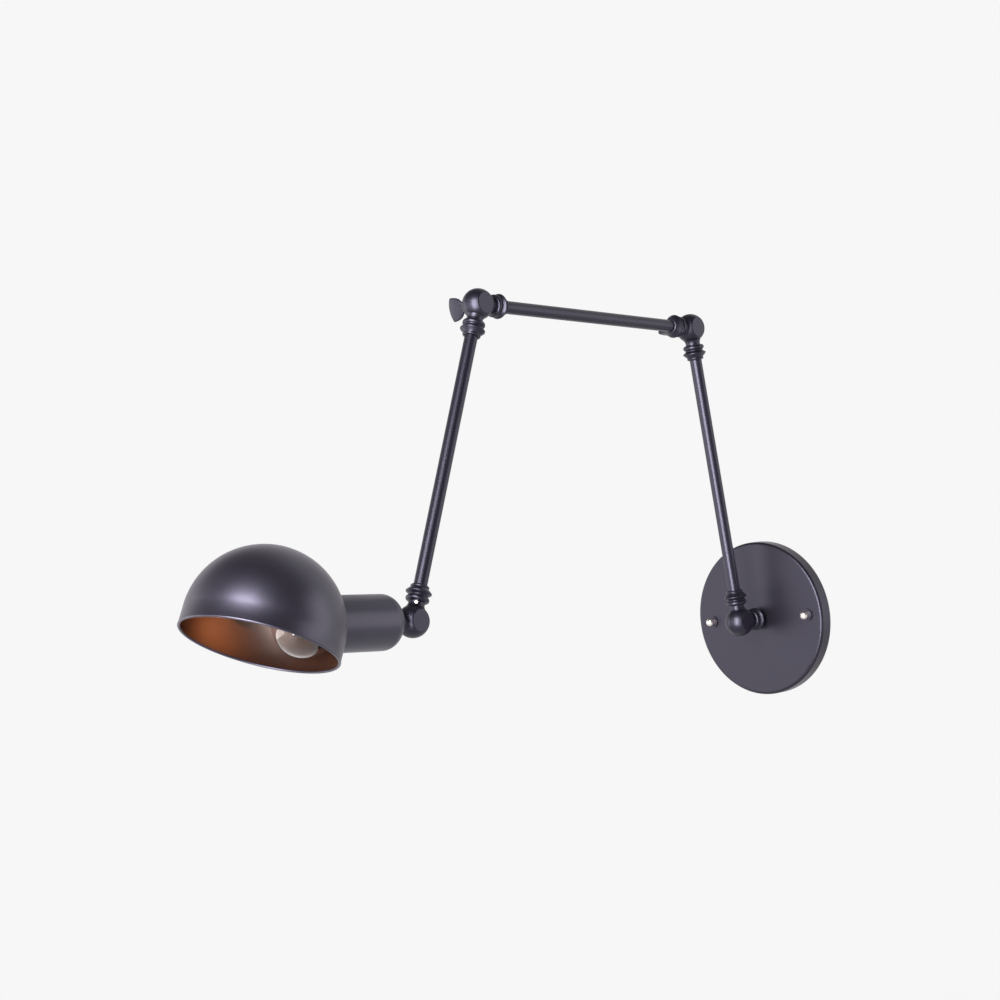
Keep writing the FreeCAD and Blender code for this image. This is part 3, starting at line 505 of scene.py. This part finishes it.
# The thumb screw in millimetres, from the pivot: its hub as radius and stand, its blade as stand and half
# height.
SHANK_START, SHANK_END = (2.0, -6.45), (2.0, 9.8)
HUB_START = (4.2, 9.8)
WAIST_START, WAIST_END, WAIST_ROUND = (4.2, 10.4), (2.4, 14.6), 7.0
WAIST_SIDE = (20.0, 12.0)
HUB_TIP = ((1.7, 17.5), (1.2, 19.0))
HUB_STEPS = 48
BLADE_ROOT, BLADE_SHOULDER, BLADE_CORNER = (14.2, 2.4), (19.0, 7.2), (27.5, 9.2)
FLANK_ROUND, END_ROUND = 17.0, 19.0
BLADE_MIDDLE = (22.0, 0.0)
BLADE_CUTS = (0.6,)
BLADE_ARC_STEPS = 8
# Through the blade's thickness: the height as a share of it, and how much of the outline is left there.
BLADE_LEVELS = ((-0.5, 0.90), (-0.44, 0.955), (-0.28, 0.99), (0.0, 1.0), (0.28, 0.99), (0.44, 0.955),
                (0.5, 0.90))
WING_CREASE = math.radians(50)


def below(point):
    """The same point on the lower half of the blade."""
    return Vector((point[0], -point[1]))


class LAMP_OT_wings(LampOperator):
    """Shapes the two thumb screws: a waisted hub and a soft-edged blade"""
    bl_idname = "lamp.wings"
    bl_label = "Thumb screws"

    def execute(self, context):
        sizes = context.scene.lamp_wings
        for elbow, lean in (("first_elbow", sizes.first_lean), ("second_elbow", sizes.second_lean)):
            hub_vertices, hub_faces = self.hub()
            blade_vertices, blade_faces = self.blade(sizes.thickness)
            shift = len(hub_vertices)
            faces = hub_faces + [[index + shift for index in face] for face in blade_faces]
            outward = -ACROSS
            up = lean_direction(lean)
            turn = Matrix((up, outward.cross(up), outward)).transposed().to_4x4()
            matrix = Matrix.Translation(PIVOT[elbow]) @ turn
            piece = new_piece(elbow + "_thumb_screw", moved(hub_vertices + blade_vertices, matrix), faces,
                              bpy.data.materials["satin_black"], elbow + "_wing_screw", elbow + "_wing")
            piece.data.set_sharp_from_angle(angle=WING_CREASE)
        return {"FINISHED"}

    def hub(self):
        waist = arc(WAIST_START, WAIST_END, WAIST_ROUND, WAIST_SIDE)
        foot = [(0.0, SHANK_START[1]), SHANK_START, SHANK_END, HUB_START]
        tip = [*HUB_TIP, (0.0, HUB_TIP[-1][1])]
        return spun([Vector(point) * MM for point in (*foot, *waist, *tip)], HUB_STEPS, False)

    def blade(self, thickness):
        """A flared blade whose flanks and end bulge, thinned towards its edge."""
        centre = Vector(BLADE_MIDDLE)
        corners = [below(BLADE_SHOULDER), below(BLADE_CORNER), Vector(BLADE_CORNER), Vector(BLADE_SHOULDER)]
        outline = [below(BLADE_ROOT)]
        for first, last, radius in zip(corners, corners[1:], (FLANK_ROUND, END_ROUND, FLANK_ROUND)):
            outline += arc(first, last, radius, centre, BLADE_ARC_STEPS)[:-1]
        outline = softened([*outline, corners[-1], Vector(BLADE_ROOT)], BLADE_CUTS)
        vertices, faces = [], []
        for height, left in BLADE_LEVELS:
            for point in outline:
                along = centre + (point - centre) * left
                vertices.append(Vector((along.y * MM, height * thickness, along.x * MM)))
        count = len(outline)
        for level in range(len(BLADE_LEVELS) - 1):
            here, there = level * count, (level + 1) * count
            for k in range(count):
                beside = (k + 1) % count
                faces.append([here + k, here + beside, there + beside, there + k])
        last = (len(BLADE_LEVELS) - 1) * count
        return vertices, faces + [list(range(count)), list(range(last, last + count))]


# ---- shade and bulb ----

SHADE_STEPS = 192
SHADE_QUARTER_STEPS = 36
SHADE_CREASE = math.radians(40)
EDGE_START, EDGE_STEP, EDGE_STEPS = 45, 15, 19
CUTTER_STEPS = 96
CUTTER_START, CUTTER_END = 0.6, 1.2


class LAMP_OT_shade(LampOperator):
    """Spins the shade with its rolled edge, cuts the bulb's hole and lines it with copper lacquer"""
    bl_idname = "lamp.shade"
    bl_label = "Shade"

    def execute(self, context):
        sizes = context.scene.lamp_shade
        finishes = context.scene.lamp_finishes
        paint = bpy.data.materials["matte_black"]
        centre = PIVOT["head_knuckle"] + lean_direction(sizes.cup_lean) * sizes.reach
        outside, edge, inside = self.profile(sizes)
        vertices, faces = spun(outside + edge + inside, SHADE_STEPS, False)
        dome = lean_matrix(centre, lean_direction(sizes.dome_lean))
        shade = new_piece("spun_shade", moved(vertices, dome), faces, paint)
        shade.data.materials.append(copper_lacquer("copper_lining", finishes.lining, finishes.shade_paint))
        first_inside = len(faces) - SHADE_STEPS * len(inside)
        for face in shade.data.polygons[first_inside:]:
            face.material_index = 1
        start, end = CUTTER_START * sizes.radius, CUTTER_END * sizes.radius
        plug = [(0.0, start), (sizes.hole, start), (sizes.hole, end), (0.0, end)]
        vertices, faces = spun(plug, CUTTER_STEPS, False)
        to_cup = lean_matrix(centre, -lean_direction(sizes.cup_lean))
        self.cut(context, shade, new_piece("hole_cutter", moved(vertices, to_cup), faces, paint))
        shade.data.set_sharp_from_angle(angle=SHADE_CREASE)
        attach(shade, "lamp_head")
        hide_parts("shade")
        return {"FINISHED"}

    def profile(self, sizes):
        """The outer wall from the pole to the rim, the rolled edge, and the lining back to the pole."""
        quarter = [math.pi / 2 * step / SHADE_QUARTER_STEPS for step in range(SHADE_QUARTER_STEPS + 1)]
        outside = [Vector((sizes.radius * math.sin(turn), sizes.radius * math.cos(turn))) for turn in quarter]
        inner = sizes.radius - sizes.wall
        inside = [Vector((inner * math.sin(turn), inner * math.cos(turn))) for turn in reversed(quarter)]
        bead = Vector((sizes.rim - sizes.bead, sizes.bead - sizes.skirt))
        turns = [math.radians(EDGE_START - EDGE_STEP * step) for step in range(EDGE_STEPS)]
        edge = [bead + Vector((math.cos(turn), math.sin(turn))) * sizes.bead for turn in turns]
        return outside, edge, inside

    def cut(self, context, piece, cutter):
        """Takes the cutter's form out of the piece, and the cutter away."""
        modifier = piece.modifiers.new("hole", "BOOLEAN")
        modifier.object = cutter
        modifier.operation = "DIFFERENCE"
        modifier.solver = "EXACT"
        shape = bpy.data.meshes.new_from_object(piece.evaluated_get(context.evaluated_depsgraph_get()))
        if len(shape.polygons) < len(piece.data.polygons) / 2:
            raise RuntimeError("the shade's hole could not be cut")
        piece.modifiers.clear()
        piece.data = shape
        bpy.data.objects.remove(cutter)


COIL_STEPS = 12


class LAMP_OT_filament(LampOperator):
    """Winds the bulb's coiled filament along its bowed wire"""
    bl_idname = "lamp.filament"
    bl_label = "Filament"

    def execute(self, context):
        sizes = context.scene.lamp_filament
        axis = lean_direction(context.scene.lamp_shade.cup_lean)
        square = axis.cross(ACROSS)
        wire = bpy.data.curves.new("filament_coil", "CURVE")
        wire.dimensions = "3D"
        wire.bevel_depth = sizes.wire
        wire.bevel_resolution = 1
        spline = wire.splines.new("POLY")
        steps = sizes.turns * COIL_STEPS
        spline.points.add(steps)
        for step in range(steps + 1):
            along = 2 * step / steps - 1
            turn = 2 * math.pi * step / COIL_STEPS
            stand = sizes.stand + sizes.rise * (1 - along ** 2) + sizes.coil * math.cos(turn)
            point = PIVOT["head_knuckle"] + ACROSS * sizes.spread * along + axis * stand
            point += square * sizes.coil * math.sin(turn)
            spline.points[step].co = (*point, 1.0)
        curve = bpy.data.objects.new("filament_curve", wire)
        context.scene.collection.objects.link(curve)
        mesh = bpy.data.meshes.new_from_object(curve.evaluated_get(context.evaluated_depsgraph_get()))
        bpy.data.objects.remove(curve)
        mesh.materials.clear()
        mesh.materials.append(bpy.data.materials["tungsten_wire"])
        coil = bpy.data.objects.new("filament_coil", mesh)
        context.scene.collection.objects.link(coil)
        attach(coil, "bulb")
        return {"FINISHED"}


# ---- studio ----

SENSOR_WIDTH = 36.0
CAMERA_PLACE = (1.041834, -1.371251, 0.075448)
CAMERA_RIGHT = Vector((0.7072089, 0.6979377, -0.1128655))
CAMERA_BACK = Vector((0.6997587, -0.7137810, -0.0292302))

# Each soft box: its place, what it points at, its width and height, and what it is left out of.
SOFT_BOXES = {
    "streak": ((0.46, -1.61, 0.22), (0.0, -0.3, 0.12), (0.80, 1.7), "visible_diffuse"),
    "wash": ((0.30, -1.60, 0.60), (0.0, -0.3, 0.12), (1.0, 1.0), "visible_glossy"),
    "side": ((1.35, 0.85, 0.25), (0.0, -0.3, 0.12), (1.2, 1.5), None),
    "left": ((-1.50, -1.60, 0.12), (0.0, -0.45, 0.08), (1.9, 1.4), None),
}
BEAM_PLACE, BEAM_TARGET = (0.77, -0.45, -0.40), (-0.052, -0.545, 0.046)
BEAM_SOURCE = 0.02

AMBIENT = 0.3
DARK_WAY = (0.72, -0.46, 0.51)
DARK_AHEAD, DARK_ABOVE = 0.9, 0.85
AHEAD_FADE, ABOVE_FADE, WALL_FADE = (0.2, 0.6), (0.35, 0.75), (0.25, 0.75)
WHITE = (1.0, 1.0, 1.0, 1.0)

FLOOR_RADIUS = 6.0
FLOOR_STEPS = 64
SHADOW_START, SHADOW_END, SHADOW_SHARE = 0.2, 1.6, 0.15


def hang(light, place, target):
    """Hangs a lamp so that it points at a target."""
    lamp = bpy.data.objects.new(light.name, light)
    lamp.location = place
    lamp.rotation_euler = (Vector(target) - Vector(place)).to_track_quat("-Z", "Y").to_euler()
    bpy.context.scene.collection.objects.link(lamp)
    return lamp


class LAMP_OT_studio(LampOperator):
    """Sets the camera, the soft boxes, the backdrop and the floor"""
    bl_idname = "lamp.studio"
    bl_label = "Studio"

    def execute(self, context):
        setup = context.scene.lamp_studio
        self.camera(context, setup.lens)
        self.world(context, setup.backdrop)
        for name, (place, target, size, left_out_of) in SOFT_BOXES.items():
            box = hang(self.soft_box(name + "_box", size, getattr(setup, name)), place, target)
            box.visible_camera = False
            if left_out_of:
                setattr(box, left_out_of, False)
        self.beam(setup)
        self.floor(setup)
        context.scene.view_settings.view_transform = "Standard"
        return {"FINISHED"}

    def camera(self, context, lens):
        data = bpy.data.cameras.new("camera")
        data.lens = lens
        data.sensor_width = SENSOR_WIDTH
        camera = bpy.data.objects.new("camera", data)
        turn = Matrix((CAMERA_RIGHT, CAMERA_BACK.cross(CAMERA_RIGHT), CAMERA_BACK)).transposed().to_4x4()
        camera.matrix_world = Matrix.Translation(CAMERA_PLACE) @ turn
        context.scene.collection.objects.link(camera)
        context.scene.camera = camera

    def world(self, context, level):
        """A plain backdrop. What the paint mirrors of it is dark ahead on the right, and above the lamp
        except towards the wall."""
        finish = Finish(bpy.data.worlds.new("backdrop"))
        way = finish.node("ShaderNodeTexCoord", output="Generated")
        ahead = finish.vector_math("DOT_PRODUCT", way, DARK_WAY, "Value")
        to_wall = finish.node("ShaderNodeSeparateXYZ", None, {0: way}, "Y")
        up = finish.node("ShaderNodeSeparateXYZ", None, {0: way}, "Z")
        dark_ahead = ahead.between(*AHEAD_FADE) * DARK_AHEAD
        dark_above = up.between(*ABOVE_FADE) * (1 - to_wall.between(*WALL_FADE)) * DARK_ABOVE
        mirrored = finish.node("ShaderNodeLightPath", output="Is Glossy Ray")
        seen = finish.seen_directly()
        strength = (seen * level + (1 - seen) * AMBIENT) * (1 - dark_ahead.larger(dark_above) * mirrored)
        light = finish.node("ShaderNodeBackground", None, {"Color": WHITE, "Strength": strength})
        context.scene.world = finish.end("ShaderNodeOutputWorld", light)

    def soft_box(self, name, size, watts):
        light = bpy.data.lights.new(name, "AREA")
        light.shape = "RECTANGLE"
        light.size, light.size_y = size
        light.energy = watts
        return light

    def beam(self, setup):
        """A narrow soft beam from below that warms the far side of the lining."""
        light = bpy.data.lights.new("lining_spot", "SPOT")
        light.energy = setup.low
        light.spot_size = setup.beam
        light.spot_blend = 1.0
        light.shadow_soft_size = BEAM_SOURCE
        hang(light, BEAM_PLACE, BEAM_TARGET).visible_glossy = False

    def floor(self, setup):
        """A round pale floor that keeps the lamp's shadow near its middle, and that isn't seen from below."""
        middle = (0.0, -0.3, -setup.floor_drop)
        tone = {"Color": (setup.backdrop, setup.backdrop, setup.backdrop, 1.0)}
        finish = new_finish("pale_floor")
        lit = finish.node("ShaderNodeBsdfDiffuse", None, tone)
        plain = finish.node("ShaderNodeEmission", None, tone)
        clear = finish.node("ShaderNodeBsdfTransparent")
        near = 1 - finish.distance_from(middle).between(SHADOW_START, SHADOW_END)
        even = finish.seen_directly() * (1 - near * SHADOW_SHARE)
        card = finish.node("ShaderNodeMixShader", None, {0: even, 1: lit, 2: plain})
        underside = finish.node("ShaderNodeNewGeometry", output="Backfacing")
        surface = finish.node("ShaderNodeMixShader", None, {0: underside, 1: card, 2: clear})
        vertices, faces = spun([(0.0, 0.0), (FLOOR_RADIUS, 0.0)], FLOOR_STEPS, False)
        mesh = bpy.data.meshes.new("floor")
        vertices = moved(vertices, Matrix.Translation(middle))
        mesh.from_pydata(vertices, [], [tuple(reversed(face)) for face in faces])
        mesh.materials.append(finish.end("ShaderNodeOutputMaterial", surface))
        floor = bpy.data.objects.new("floor", mesh)
        bpy.context.scene.collection.objects.link(floor)


class LAMP_PT_panel(bpy.types.Panel):
    """The lamp's steps and sizes in the sidebar"""
    bl_label = "Wall lamp"
    bl_space_type = "VIEW_3D"
    bl_region_type = "UI"
    bl_category = "Wall lamp"

    def draw(self, context):
        for step in STEPS:
            self.layout.operator(step.bl_idname)
        for name, group in GROUPS.items():
            box = self.layout.box()
            for key in group.__annotations__:
                box.prop(getattr(context.scene, name), key)


STEPS = (LAMP_OT_finishes, LAMP_OT_collars, LAMP_OT_wings, LAMP_OT_shade, LAMP_OT_filament, LAMP_OT_studio)


def register():
    for kind in (*GROUPS.values(), *STEPS, LAMP_PT_panel):
        bpy.utils.register_class(kind)
    for name, group in GROUPS.items():
        setattr(bpy.types.Scene, name, PointerProperty(type=group))


def unregister():
    for name in GROUPS:
        delattr(bpy.types.Scene, name)
    for kind in (LAMP_PT_panel, *reversed(STEPS), *reversed(tuple(GROUPS.values()))):
        bpy.utils.unregister_class(kind)


def main():
    register()
    bpy.ops.lamp.finishes()
    bpy.ops.lamp.collars()
    bpy.ops.lamp.wings()
    bpy.ops.lamp.shade()
    bpy.ops.lamp.filament()
    bpy.ops.lamp.studio()


if __name__ == "__main__":
    main()
